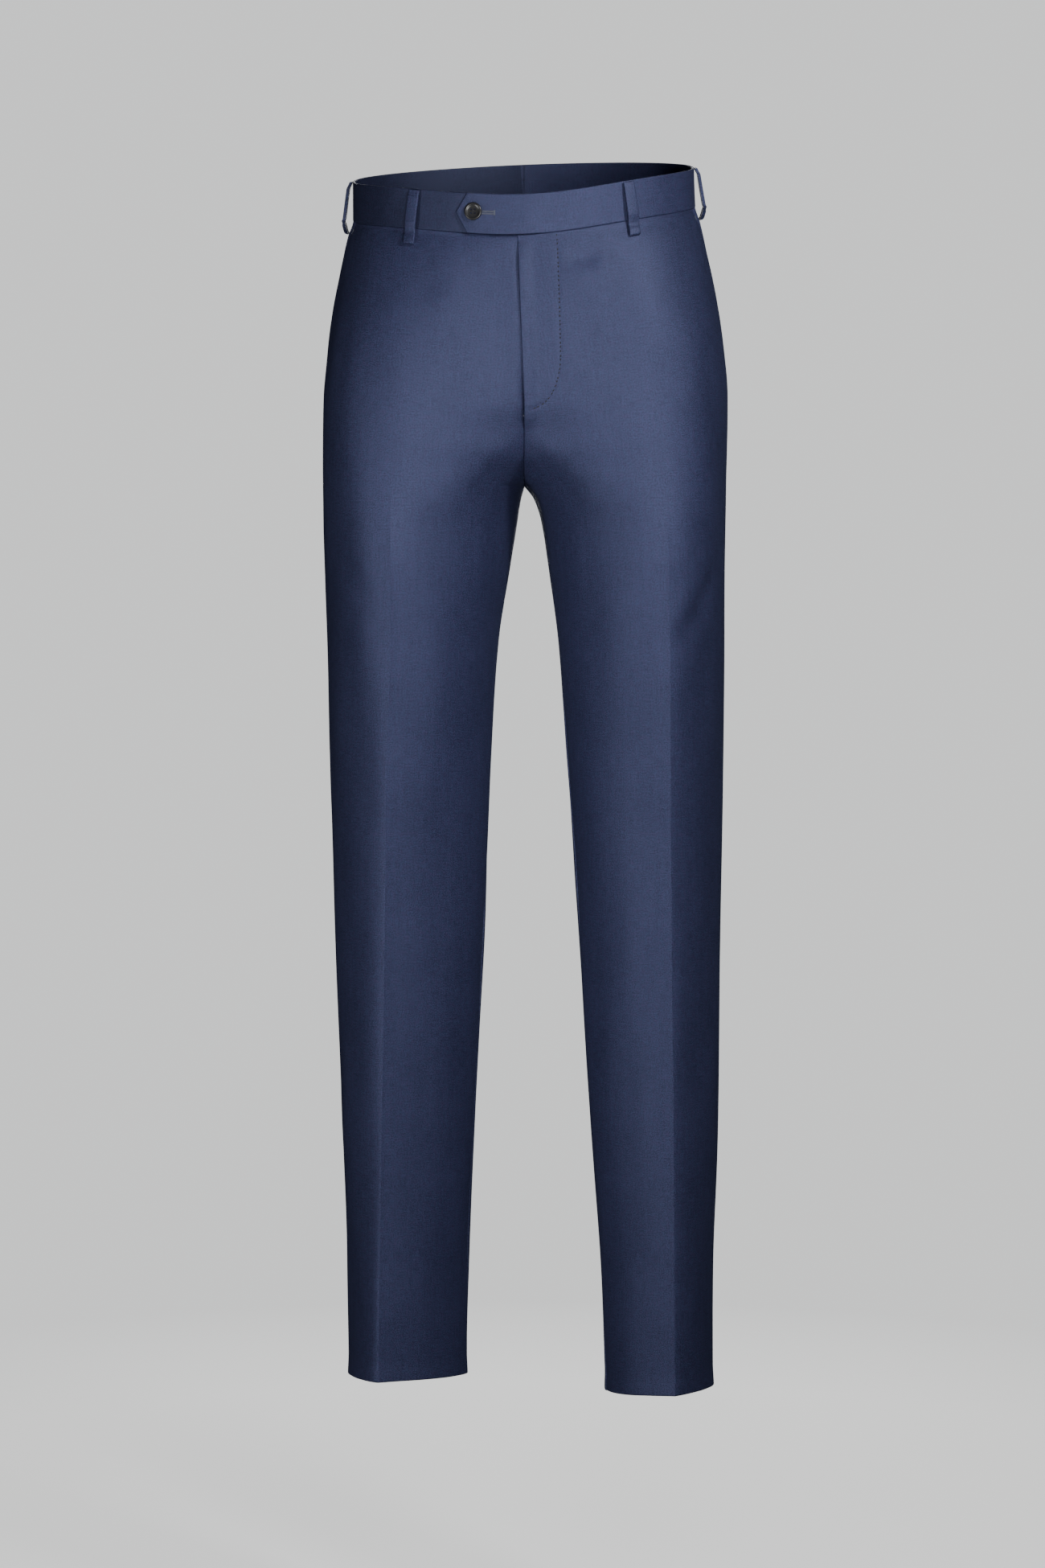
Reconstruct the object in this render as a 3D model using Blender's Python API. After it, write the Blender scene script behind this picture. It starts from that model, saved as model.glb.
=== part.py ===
"""Flat-front dress trousers in their hollow worn shape.

Metres, +Z up, the wearer facing -Y, so the wearer's left is +X. The origin is the
middle of the waist opening. Cloth pieces are walls that follow one form: a section
of half the trousers at every height, run off from the centre seam or the inseam
round to the side seam.
"""

import functools
import math

import bmesh
import bpy
import numpy as np
from mathutils import Matrix, Vector

MM = 0.001

# Driving dimensions.
CLOTH = 1.5 * MM
BAND_CLOTH = 2.4 * MM
SEAM_GAP = 0.3 * MM
BAND_HEIGHT = 35 * MM
BAND_COLUMNS = {"right": 28, "left": 34}
HIP_FADE = 260 * MM  # below here the tilt of the waist has died out
CROTCH = -268 * MM
HEM = -1090 * MM

# The waist sits lower in front than behind, and lower on the wearer's right.
WAIST_RISE = 13.5 * MM
WAIST_PITCH = 17 * MM
FRONT_DIP = 9 * MM
SIDE_TILT = 0.0407

SIDE_SHIFT = 5 * MM  # how far behind the widest point the side seam lies
INSEAM_AHEAD = 8 * MM
INSEAM_FADE = 70 * MM
HEM_FADE = 120 * MM
HEM_SLOPE = 0.12  # higher in front, lower behind

# Pocket, fly and tab.
MOUTH_WIDTH = 38 * MM
MOUTH_FOOT = -205 * MM
MOUTH_BEND = 1.25  # 1 would be a straight mouth
FACING_FOOT = -196 * MM
FACING_UNDER = 24 * MM  # how far it goes on under the front
FACING_DEPTH = 2.6 * MM
FLY_LAP = 6.2 * MM
FLY_FOOT = -205 * MM
LAP_FOOT = -195 * MM
FLY_UNDER = 3 * MM
LAP_LIFT = 2.0 * MM
TAB_LENGTH = 60 * MM
TAB_POINT = 10 * MM
TAB_LIFT = 2.8 * MM
LIFT_RAMP = (4 * MM, 26 * MM)  # over this distance from the centre line the tab comes down to the band
LAP_RAMP = (6 * MM, 20 * MM)  # and the fly's lap, from its edge, to the front
LAP_FADE = 18 * MM

BUTTON_PLACE = 44.3 * MM
BUTTON_DROP = 16 * MM
BUTTON_RADIUS = 7.4 * MM
BUTTON_THICK = 2.8 * MM
BUTTON_HOLE_RADIUS = 0.9 * MM
BUTTON_HOLE_PLACE = 1.9 * MM  # from its centre
# The button's half section, from its back round the rim to its dished face, as shares of radius and thickness.
BUTTON_PROFILE = (
    (0.0, 0.0), (0.72, 0.0), (1.0, 0.4), (1.0, 0.72), (0.9, 1.0), (0.74, 0.92), (0.62, 0.62), (0.0, 0.62),
)

ZIP_WIDTH = 28 * MM
ZIP_TAPE = 1.0 * MM
ZIP_MIDDLE = 8 * MM  # its chain lies behind the lap, on the wearer's left of the centre line
ZIP_DEPTH = 4.6 * MM
ZIP_TOP = -39 * MM
ZIP_FOOT = -192 * MM
SLIDER_TOP = -41 * MM
SLIDER_LENGTH = 12 * MM
SLIDER_WIDTHS = (7 * MM, 4 * MM)  # at its top and its foot
SLIDER_THICK = 2.4 * MM

LOOP_WIDTH = 10 * MM
LOOP_CLOTH = 1.6 * MM
LOOP_TOP = 1.5 * MM  # below the band's top edge
LOOP_BELOW_BAND = 14 * MM
LOOP_SEAT = 0.9 * MM  # clear of the band and the panel at its two sewn ends
LOOP_FREE = 0.86  # the share of its length that stands off them
LOOP_ROWS = 8

NORMAL_STEP = 1 * MM  # how far apart the points lie that give the cloth's direction

SIDES = {"right": -1, "left": 1}

# Belt loops: side, face, distance along the band from the centre, how far they stand off and how far they lean.
LOOP_COLUMNS = ("name", "side", "face", "run", "stand", "lean")
LOOPS = (
    ("front_right", "right", "front", 103, 4.6, 6),
    ("front_left", "left", "front", 96, 4.6, 6),
    ("side_right", "right", "back", 207, 6.0, 0),
    ("side_left", "left", "back", 206, 6.0, 0),
    ("back_right", "right", "back", 86, 4.6, 0),
    ("back_left", "left", "back", 86, 4.6, 0),
    ("centre_back", "left", "back", 0, 5.2, 0),
)

WORSTED_FRONT = (0.030, 0.045, 0.115)
WORSTED_BACK = (0.026, 0.040, 0.105)
WORSTED_FACING = (0.045, 0.065, 0.160)
WORSTED_LOOP = (0.020, 0.032, 0.085)
HORN = (0.020, 0.022, 0.026)
ZIP_CLOTH = (0.020, 0.025, 0.050)
ZIP_METAL = (0.250, 0.250, 0.260)

# One row a section, in millimetres. Heights are nominal: the waist's tilt and the hem's slope come after.
# outer and inner are distances from the centre plane, crease the lines of the pressed creases.
OUTLINE_COLUMNS = ("height", "outer", "inner", "front_crease", "back_crease")
OUTLINES = {
    "right": (
        (20, 155, 0, 97, 74),
        (-35, 155, 0, 98, 76),
        (-50, 160, 0, 99, 77),
        (-75, 165.5, 0, 101, 78),
        (-110, 172.3, 0, 105, 80),
        (-150, 178, 0, 109, 82),
        (-190, 182, 0, 112, 83),
        (-230, 182.6, 0, 115, 82),
        (-268, 182.8, 0, 117, 80),
        (-280, 182.8, 3, 117, 80),
        (-300, 182.7, 6.2, 118, 78),
        (-340, 181.6, 12.6, 118, 76),
        (-410, 180, 23.2, 118.5, 84.7),
        (-510, 178.1, 29.6, 122.8, 85),
        (-680, 173.3, 36.5, 125.5, 84.3),
        (-850, 168.9, 45.3, 129, 85.2),
        (-980, 163.6, 51.5, 131.5, 83.6),
        (-1110, 163.2, 53, 133, 83.2),
    ),
    "left": (
        (20, 153, 0, 90, 74),
        (-35, 155, 0, 93, 76),
        (-50, 159.8, 0, 95, 77),
        (-75, 165.5, 0, 99, 78),
        (-110, 172.8, 0, 105, 80),
        (-150, 179.5, 0, 111, 82),
        (-190, 183.6, 0, 116, 83),
        (-230, 184, 0, 120, 82),
        (-268, 183.7, 0, 124, 80),
        (-280, 183.7, 9, 125, 80),
        (-300, 183.6, 15.4, 126, 78),
        (-340, 183.4, 22.8, 128, 78.2),
        (-410, 183.2, 33, 129, 87.2),
        (-510, 182, 40.5, 130, 92.5),
        (-680, 180.3, 50.5, 132, 98.8),
        (-850, 178.4, 60.8, 134.5, 104.7),
        (-980, 175.2, 70.3, 135.5, 110),
        (-1110, 174.5, 77, 136.8, 114.7),
    ),
}

# front and back are how far the section reaches, fork_front and fork_back where it meets the centre seam
# (one value, the inseam, below the crotch). crest is the share of the crease's distance at which the section
# reaches furthest: none at the waist, where it is furthest at the centre. full_front, full_back and fork_full
# are how square its outer and inner arcs are, 2 being an ellipse.
DEPTH_COLUMNS = (
    "height", "front", "back", "side", "fork_front", "fork_back", "crest", "full_front", "full_back", "fork_full",
)
DEPTHS = (
    (20, -115, 113, 0, -115, 113, 0, 2.3, 2.05, 2),
    (-35, -115, 115, 0, -115, 115, 0, 2.3, 2.05, 2),
    (-50, -116, 120, 1, -116, 120, 0.12, 2.4, 2.08, 1.8),
    (-75, -118, 128, 2, -118, 127, 0.3, 2.55, 2.1, 1.5),
    (-110, -120, 138, 3, -119, 136, 0.5, 2.7, 2.12, 1.3),
    (-150, -120.5, 146.5, 4, -118, 143, 0.68, 2.8, 2.12, 1.2),
    (-190, -120, 149, 5, -113, 143, 0.8, 2.8, 2.1, 1.2),
    (-215, -119, 147.5, 5.5, -104, 137, 0.86, 2.75, 2.07, 1.27),
    (-240, -117.8, 143, 6, -90, 119, 0.91, 2.66, 2.04, 1.46),
    (-256, -116.9, 138, 6, -61, 88, 0.935, 2.6, 2.02, 1.72),
    (-265, -116.3, 134.5, 6, -24, 44, 0.948, 2.56, 2.01, 2.06),
    (-268, -116.1, 133.2, 6, 8, 8, 0.952, 2.55, 2.005, 2.33),
    (-280, -115.4, 128, 5.8, 7.5, 7.5, 0.967, 2.48, 1.99, 2.2),
    (-300, -114, 120.5, 5, 7, 7, 0.985, 2.38, 1.965, 2.02),
    (-340, -111, 108, 3, 5, 5, 1, 2.16, 1.92, 1.97),
    (-410, -104, 95, -1, 3, 3, 1, 1.9, 1.88, 1.92),
    (-510, -94, 84, -4, 2, 2, 1, 1.7, 1.84, 1.85),
    (-680, -78, 70, -5, 2, 2, 1, 1.6, 1.8, 1.78),
    (-850, -71, 67, -4, 3, 3, 1, 1.58, 1.8, 1.75),
    (-980, -68, 68, -3, 4, 4, 1, 1.58, 1.8, 1.75),
    (-1110, -66, 68, -2, 5, 5, 1, 1.58, 1.8, 1.75),
)

# Where each leg stands: how far its hem swings back, how low it ends, and how much lower its inner side is.
STANCE = {
    "right": {"swing": 4 * MM, "hem": -1091 * MM, "inner_drop": 0.0},
    "left": {"swing": -14 * MM, "hem": -1100 * MM, "inner_drop": 0.06},
}

# Each panel's grid: its columns, an even number so that one lies on the crease, and the nominal heights of its
# rows, close together where the fork turns under.
FRONT_COLUMNS = 12
BACK_COLUMNS = 14
PANEL_ROWS = (
    -50, -72, -100, -130, -160, -190, -205, -220, -235, -247, -256, -262, -266, -268, -271, -277,
    -288, -305, -340, -390, -450, -520, -600, -690, -780, -870, -950, -1020,
)
FACING_COLUMNS = 8
FACING_ROWS = (-55, -80, -105, -130, -155, -180)
ZIP_ROWS = (-70, -100, -130, -160, -180)

# What the waist's tilt takes as ahead, for a waist this much deeper for its width than a circle's.
WAIST_OVAL = 0.74
LEG_MIDDLE = 125 * MM


def smooth(low, high, value):
    share = min(max((value - low) / (high - low), 0.0), 1.0)
    return share * share * (3 - 2 * share)


def slopes_through(heights, values):
    """Slopes for a smooth curve through the values that never swings past them."""
    rise = np.diff(values) / np.diff(heights)
    below = np.concatenate((rise[:1], rise))
    above = np.concatenate((rise, rise[-1:]))
    together = below * above > 0
    return np.where(together, 2 * below * above / np.where(together, below + above, 1), 0)


@functools.cache
def curves(name):
    """A table's heights and columns, lowest first, each column with its slopes."""
    rows, columns = (DEPTHS, DEPTH_COLUMNS) if name == "depth" else (OUTLINES[name], OUTLINE_COLUMNS)
    values = np.array(rows[::-1], float)
    heights = values[:, 0] * MM
    return heights, {
        column: (values[:, i], slopes_through(heights, values[:, i])) for i, column in enumerate(columns)
    }


def read(name, column, height):
    """One column of a table at a height, on a smooth curve through its rows."""
    heights, columns = curves(name)
    values, slopes = columns[column]
    height = min(max(height, heights[0]), heights[-1])
    i = min(int(np.searchsorted(heights, height, side="right")), len(heights) - 1) - 1
    step = heights[i + 1] - heights[i]
    t = (height - heights[i]) / step
    return (
        values[i] * (1 + 2 * t) * (1 - t) ** 2
        + slopes[i] * step * t * (1 - t) ** 2
        + values[i + 1] * t * t * (3 - 2 * t)
        + slopes[i + 1] * step * t * t * (t - 1)
    )


@functools.cache
def section(side, face, height):
    """Half a section's front or back, from the centre seam or inseam out to the side: distances and points."""
    outer = read(side, "outer", height) * MM
    inner = read(side, "inner", height) * MM if height < CROTCH else 0.0
    crest = read(side, face + "_crease", height) * read("depth", "crest", height) * MM
    crest = max(crest, inner + 1 * MM)
    reach = read("depth", face, height) * MM
    fork = read("depth", "fork_" + face, height) * MM
    side_depth = read("depth", "side", height) * MM
    full = read("depth", "full_" + face, height)
    fork_full = read("depth", "fork_full", height)
    turn = np.linspace(0, math.pi / 2, 40)
    inner_arc = np.column_stack(
        (
            inner + (crest - inner) * (1 - np.cos(turn) ** (2 / fork_full)),
            fork + (reach - fork) * np.sin(turn) ** (2 / fork_full),
        )
    )
    outer_arc = np.column_stack(
        (
            crest + (outer - crest) * np.sin(turn) ** (2 / full),
            side_depth + (reach - side_depth) * np.cos(turn) ** (2 / full),
        )
    )
    points = np.vstack((inner_arc, outer_arc[1:]))
    swing = STANCE[side]["swing"] * smooth(CROTCH, HEM, height)
    points[:, 1] += swing
    runs = np.concatenate(([0], np.cumsum(np.hypot(*np.diff(points, axis=0).T))))
    return runs, points


def length(side, face, height):
    return section(side, face, height)[0][-1]


def crease_run(side, face, height):
    """The distance along a section at which its crease line lies."""
    runs, points = section(side, face, height)
    crease = read(side, face + "_crease", height) * MM
    return float(np.interp(crease, points[:, 0], runs))


def flat_point(side, face, run, height):
    """A point of a section. Past either end it goes on: over the centre line, or round to the other face."""
    other = "back" if face == "front" else "front"
    runs, points = section(side, face, height)
    if run > runs[-1]:
        beyond = run - runs[-1]
        runs, points = section(side, other, height)
        run = runs[-1] - beyond
    mirrored = 1
    if run < 0 and height >= CROTCH:
        mirrored, run = -1, -run
    elif run < 0:
        runs, points = section(side, other, height)
        run = -run
    x = float(np.interp(run, runs, points[:, 0]))
    y = float(np.interp(run, runs, points[:, 1]))
    return SIDES[side] * mirrored * x, y


def skin(side, face, run, height):
    """A point of the cloth's outer face, with the waist's tilt and the hem's slope."""
    x, y = flat_point(side, face, run, height)
    ahead = -y / math.hypot(x * WAIST_OVAL, y)
    waist = WAIST_RISE - WAIST_PITCH * ahead - FRONT_DIP * max(ahead, 0) ** 6 + SIDE_TILT * x
    stance = STANCE[side]
    hem = stance["hem"] - HEM - HEM_SLOPE * (y - stance["swing"])
    hem += stance["inner_drop"] * (abs(x) - LEG_MIDDLE)
    z = height + waist * smooth(-HIP_FADE, -BAND_HEIGHT, height) + hem * smooth(HEM + HEM_FADE, HEM, height)
    return Vector((x, y, z))


def level_with(side, face, run, height, other_height):
    """The run at another height that keeps a point's share of the way to the crease, or on to the side."""
    crease, other_crease = crease_run(side, face, height), crease_run(side, face, other_height)
    if run < crease:
        return run * other_crease / crease
    end, other_end = length(side, face, height), length(side, face, other_height)
    return other_crease + (run - crease) * (other_end - other_crease) / (end - crease)


def on_cloth(side, face, run, height, out=0.0):
    """A point at a distance outside the cloth's outer face (inside it where out is negative)."""
    step = NORMAL_STEP
    low = run if abs(run) < step and height >= CROTCH - step else run - step
    along = skin(side, face, run + step, height) - skin(side, face, low, height)
    below, above = (
        skin(side, face, level_with(side, face, run, height, level), level)
        for level in (height - step, height + step)
    )
    normal = along.cross(below - above).normalized()
    turned = SIDES[side] * (1 if face == "front" else -1)
    return skin(side, face, run, height) - normal * turned * out


def wall(name, columns, rows, thickness, place, colour, roughness=0.85):
    """A wall of cloth: a grid laid on the form by place(u, v, out), extruded inwards by its thickness."""
    bm = bmesh.new()
    bmesh.ops.create_grid(bm, x_segments=columns, y_segments=rows, size=0.5)
    spots = {vert: (vert.co.x + 0.5, 0.5 - vert.co.y) for vert in bm.verts}
    grown = bmesh.ops.extrude_face_region(bm, geom=bm.faces[:], use_keep_orig=True)["geom"]
    inner = [item for item in grown if isinstance(item, bmesh.types.BMVert)]
    for vert in inner:
        vert.co = place(vert.co.x + 0.5, 0.5 - vert.co.y, -thickness)
    for vert, (u, v) in spots.items():
        vert.co = place(u, v, 0.0)
    bmesh.ops.recalc_face_normals(bm, faces=bm.faces[:])
    if bm.calc_volume(signed=True) < 0:
        bmesh.ops.reverse_faces(bm, faces=bm.faces[:])
    return finish(name, bm, colour, roughness)


def material(name, colour, roughness, metallic=0.0):
    made = bpy.data.materials.new(name)
    made.use_nodes = True
    shader = made.node_tree.nodes["Principled BSDF"]
    shader.inputs["Base Color"].default_value = (*colour, 1)
    shader.inputs["Roughness"].default_value = roughness
    shader.inputs["Metallic"].default_value = metallic
    made.diffuse_color = (*colour, 1)
    return made


def finish(name, bm, colour, roughness, metallic=0.0):
    mesh = bpy.data.meshes.new(name)
    bm.to_mesh(mesh)
    bm.free()
    mesh.materials.append(material(name, colour, roughness, metallic))
    mesh.shade_smooth()
    mesh.set_sharp_from_angle(angle=math.radians(40))
    piece = bpy.data.objects.new(name, mesh)
    trousers.objects.link(piece)
    piece.parent = waist
    return piece


def row_height(v, heights):
    return float(np.interp(v, np.linspace(0, 1, len(heights)), heights))


def inseam_shift(height):
    """How far in front of the section's innermost point the inseam lies, once clear of the fork."""
    return INSEAM_AHEAD * smooth(CROTCH, CROTCH - INSEAM_FADE, height)


def mouth_run(side, height):
    """Where the pocket mouth lies along a front's section."""
    seam = length(side, "front", height) + SIDE_SHIFT
    below = min(max((-BAND_HEIGHT - height) / (-BAND_HEIGHT - MOUTH_FOOT), 0), 1)
    return seam - MOUTH_WIDTH * (1 - below ** MOUTH_BEND)


def fly_edge(height):
    """How far the left front reaches past the centre line, to the wearer's right."""
    return FLY_LAP * (1 - min(max((-BAND_HEIGHT - height) / (-BAND_HEIGHT - LAP_FOOT), 0), 1))


def front_ends(side, height):
    gap = SEAM_GAP / 2
    start = gap + inseam_shift(height)
    if height > FLY_FOOT:
        edge = fly_edge(height)
        start = -edge + gap if side == "left" else max(edge - FLY_UNDER, gap)
    end = length(side, "front", height) + SIDE_SHIFT - gap
    if height > MOUTH_FOOT:
        end = mouth_run(side, height) - gap
    return start, end


def back_ends(side, height):
    gap = SEAM_GAP / 2
    return gap - inseam_shift(height), length(side, "back", height) - SIDE_SHIFT - gap


def across(u, start, middle, end):
    """The run at a share u across a panel, with its middle column on the crease."""
    if u < 0.5:
        return start + (middle - start) * u * 2
    return middle + (end - middle) * (u - 0.5) * 2


def make_panels():
    heights = (-BAND_HEIGHT - SEAM_GAP, *(row * MM for row in PANEL_ROWS), HEM)
    for side in SIDES:

        def place_front(u, v, out, side=side):
            height = row_height(v, heights)
            start, end = front_ends(side, height)
            run = across(u, start, crease_run(side, "front", height), end)
            if side == "left":
                near = smooth(LAP_RAMP[1], LAP_RAMP[0], run + fly_edge(height))
                out += LAP_LIFT * near * smooth(FLY_FOOT - LAP_FADE, FLY_FOOT, height)
            return on_cloth(side, "front", run, height, out)

        def place_back(u, v, out, side=side):
            height = row_height(v, heights)
            start, end = back_ends(side, height)
            run = across(u, start, crease_run(side, "back", height), end)
            return on_cloth(side, "back", run, height, out)

        wall("front_" + side, FRONT_COLUMNS, len(heights) - 1, CLOTH, place_front, WORSTED_FRONT)
        wall("back_" + side, BACK_COLUMNS, len(heights) - 1, CLOTH, place_back, WORSTED_BACK)


def make_facings():
    """The strip behind each pocket mouth: under the front at the mouth, level with the cloth at the side seam."""
    heights = (-BAND_HEIGHT - SEAM_GAP, *(row * MM for row in FACING_ROWS), FACING_FOOT)
    for side in SIDES:

        def place(u, v, out, side=side):
            height = row_height(v, heights)
            mouth = mouth_run(side, height)
            seam = length(side, "front", height) + SIDE_SHIFT - SEAM_GAP / 2
            run = across(u, mouth - FACING_UNDER, mouth, seam)
            depth = FACING_DEPTH * min(max((seam - run) / (seam - mouth), 0), 1)
            return on_cloth(side, "front", run, height, out - depth)

        wall("pocket_facing_" + side, FACING_COLUMNS, len(heights) - 1, CLOTH, place, WORSTED_FACING)


def make_waistband():
    """Two halves, seamed at the centre back. The left one laps over the right in front and ends in the tab."""
    for side in SIDES:
        start = -TAB_LENGTH if side == "left" else FLY_UNDER
        front, back = (length(side, face, -BAND_HEIGHT) for face in ("front", "back"))

        def place(u, v, out, side=side, start=start, front=front, back=back):
            run = start + (front + back - SEAM_GAP / 2 - start) * u
            face = "front" if run <= front else "back"
            if face == "back":
                run = front + back - run
            elif side == "left":
                out += TAB_LIFT * smooth(LIFT_RAMP[1], LIFT_RAMP[0], run)
                # The tab ends in a blunt point halfway up the band.
                run += TAB_POINT * abs(2 * v - 1) * smooth(-TAB_LENGTH / 2, -TAB_LENGTH, run)
            return on_cloth(side, face, run, -BAND_HEIGHT * v, out)

        wall("waistband_" + side, BAND_COLUMNS[side], 2, BAND_CLOTH, place, WORSTED_BACK)


def make_belt_loops():
    """Strips that leave the band's top edge, stand off it for the belt, and are sewn down below the band."""
    fall = BAND_HEIGHT + LOOP_BELOW_BAND - LOOP_TOP
    for row in LOOPS:
        loop = dict(zip(LOOP_COLUMNS, row))

        def place(u, v, out, loop=loop):
            stand = loop["stand"] * MM * math.sin(math.pi * min(v / LOOP_FREE, 1.0)) ** 0.55
            run = loop["run"] * MM + loop["lean"] * MM * (v - 0.5) + (u - 0.5) * LOOP_WIDTH
            height = -LOOP_TOP - fall * v
            return on_cloth(loop["side"], loop["face"], run, height, LOOP_SEAT + stand + LOOP_CLOTH + out)

        wall("belt_loop_" + loop["name"], 2, LOOP_ROWS, LOOP_CLOTH, place, WORSTED_LOOP)


def make_button():
    """A four-hole button on the tab, facing the way the band faces there."""
    spot = ("left", "front", -BUTTON_PLACE, -BUTTON_DROP)
    facing = on_cloth(*spot, 5 * MM) - on_cloth(*spot)
    bm = bmesh.new()
    rim = [bm.verts.new((r * BUTTON_RADIUS, 0, h * BUTTON_THICK)) for r, h in BUTTON_PROFILE]
    edges = [bm.edges.new(pair) for pair in zip(rim, rim[1:])]
    bmesh.ops.spin(
        bm, geom=rim + edges, angle=2 * math.pi, steps=32, use_merge=True, axis=(0, 0, 1), cent=(0, 0, 0),
    )
    bmesh.ops.remove_doubles(bm, verts=bm.verts[:], dist=0.01 * MM)
    bmesh.ops.recalc_face_normals(bm, faces=bm.faces[:])
    button = finish("button", bm, HORN, 0.3)
    button.rotation_euler = facing.to_track_quat("Z", "Y").to_euler()
    button.location = on_cloth(*spot, TAB_LIFT + SEAM_GAP)
    for quarter in range(4):
        angle = math.radians(45 + 90 * quarter)
        place = Vector((math.cos(angle), math.sin(angle), 0)) * BUTTON_HOLE_PLACE
        drill = bmesh.new()
        bmesh.ops.create_cone(
            drill, cap_ends=True, segments=10, radius1=BUTTON_HOLE_RADIUS, radius2=BUTTON_HOLE_RADIUS,
            depth=4 * BUTTON_THICK, matrix=Matrix.Translation(place),
        )
        mesh = bpy.data.meshes.new("button_hole")
        drill.to_mesh(mesh)
        drill.free()
        cutter = bpy.data.objects.new(f"button_hole_{quarter}", mesh)
        cutter.hide_render = True
        cutter.display_type = "WIRE"
        cutters.objects.link(cutter)
        cutter.parent = button
        hole = button.modifiers.new(f"hole {quarter}", "BOOLEAN")
        hole.operation = "DIFFERENCE"
        hole.object = cutter


def make_zip():
    """The closed zip behind the fly lap, its tape and its slider."""
    heights = (ZIP_TOP, *(row * MM for row in ZIP_ROWS), ZIP_FOOT)

    def place_tape(u, v, out):
        run = ZIP_MIDDLE + ZIP_WIDTH * (u - 0.5)
        return on_cloth("left", "front", run, row_height(v, heights), out - ZIP_DEPTH)

    def place_slider(u, v, out):
        width = SLIDER_WIDTHS[0] + (SLIDER_WIDTHS[1] - SLIDER_WIDTHS[0]) * v
        run = ZIP_MIDDLE + width * (u - 0.5)
        depth = ZIP_DEPTH + ZIP_TAPE + SEAM_GAP
        return on_cloth("left", "front", run, SLIDER_TOP - SLIDER_LENGTH * v, out - depth)

    wall("zip", 6, len(heights) - 1, ZIP_TAPE, place_tape, ZIP_CLOTH)
    wall("zip_slider", 2, 3, SLIDER_THICK, place_slider, ZIP_METAL, 0.35)


for old in list(bpy.data.objects):
    bpy.data.objects.remove(old, do_unlink=True)

trousers = bpy.data.collections.new("dress_trousers")
bpy.context.scene.collection.children.link(trousers)
cutters = bpy.data.collections.new("cutters")
bpy.context.scene.collection.children.link(cutters)
waist = bpy.data.objects.new("waist", None)
trousers.objects.link(waist)

make_panels()
make_facings()
make_waistband()
make_belt_loops()
make_button()
make_zip()
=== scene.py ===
import functools
import math

import bmesh
import bpy
import numpy as np
from mathutils import Matrix, Vector


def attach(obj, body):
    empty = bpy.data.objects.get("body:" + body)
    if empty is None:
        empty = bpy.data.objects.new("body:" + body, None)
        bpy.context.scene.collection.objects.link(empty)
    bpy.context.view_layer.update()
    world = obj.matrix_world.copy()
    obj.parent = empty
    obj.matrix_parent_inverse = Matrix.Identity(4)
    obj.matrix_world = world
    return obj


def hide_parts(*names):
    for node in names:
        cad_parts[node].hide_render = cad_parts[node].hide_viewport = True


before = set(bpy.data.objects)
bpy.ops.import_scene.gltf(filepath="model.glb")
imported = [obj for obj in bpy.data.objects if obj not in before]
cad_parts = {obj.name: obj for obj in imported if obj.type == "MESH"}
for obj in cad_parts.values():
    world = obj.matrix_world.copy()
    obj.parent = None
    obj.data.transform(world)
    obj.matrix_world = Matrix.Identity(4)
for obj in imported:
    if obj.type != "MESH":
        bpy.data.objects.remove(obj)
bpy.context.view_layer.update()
mm = 0.001
sides = {"right": -1, "left": 1}  # the wearer's, so left is +X


def inMetres(**sizes):
    # A piece's sizes, given in millimetres.
    return {
        name: tuple(part * mm for part in size) if isinstance(size, tuple) else size * mm
        for name, size in sizes.items()
    }


# Camera
eye = {"place": (-0.0015, -3.44, -0.2466), "pitch": 85.115, "lens": 86.4, "film": 36}


def placed(name, data):
    made = bpy.data.objects.new(name, data)
    bpy.context.scene.collection.objects.link(made)
    return made


def meshFrom(bm, name):
    mesh = bpy.data.meshes.new(name)
    bm.to_mesh(mesh)
    bm.free()
    return mesh


def makeCamera():
    data = bpy.data.cameras.new("camera")
    data.sensor_fit = "VERTICAL"
    data.sensor_height = eye["film"]
    data.lens = eye["lens"]
    data.dof.use_dof = False
    camera = placed("camera", data)
    camera.location = eye["place"]
    camera.rotation_euler = (math.radians(eye["pitch"]), 0, 0)
    bpy.context.scene.camera = camera


makeCamera()
print("camera placed")

# Shader helpers


class Wire:
    # A shader socket that can stand in a Python expression.
    def __init__(self, tree, socket):
        self.tree, self.socket = tree, socket

    def maths(self, operation, *values):
        node = self.tree.nodes.new("ShaderNodeMath")
        node.operation = operation
        for socket, value in zip(node.inputs, values):
            plug(self.tree, socket, value)
        return Wire(self.tree, node.outputs[0])

    def __add__(self, other):
        return self.maths("ADD", self, other)

    __radd__ = __add__

    def __sub__(self, other):
        return self.maths("SUBTRACT", self, other)

    def __rsub__(self, other):
        return self.maths("SUBTRACT", other, self)

    def __mul__(self, other):
        return self.maths("MULTIPLY", self, other)

    __rmul__ = __mul__

    def __truediv__(self, other):
        return self.maths("DIVIDE", self, other)

    def sine(self):
        return self.maths("SINE", self)

    def kept(self, low, high):
        return self.maths("MINIMUM", self.maths("MAXIMUM", self, low), high)


def plug(tree, socket, value):
    if isinstance(value, Wire):
        tree.links.new(value.socket, socket)
    else:
        socket.default_value = value


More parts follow.
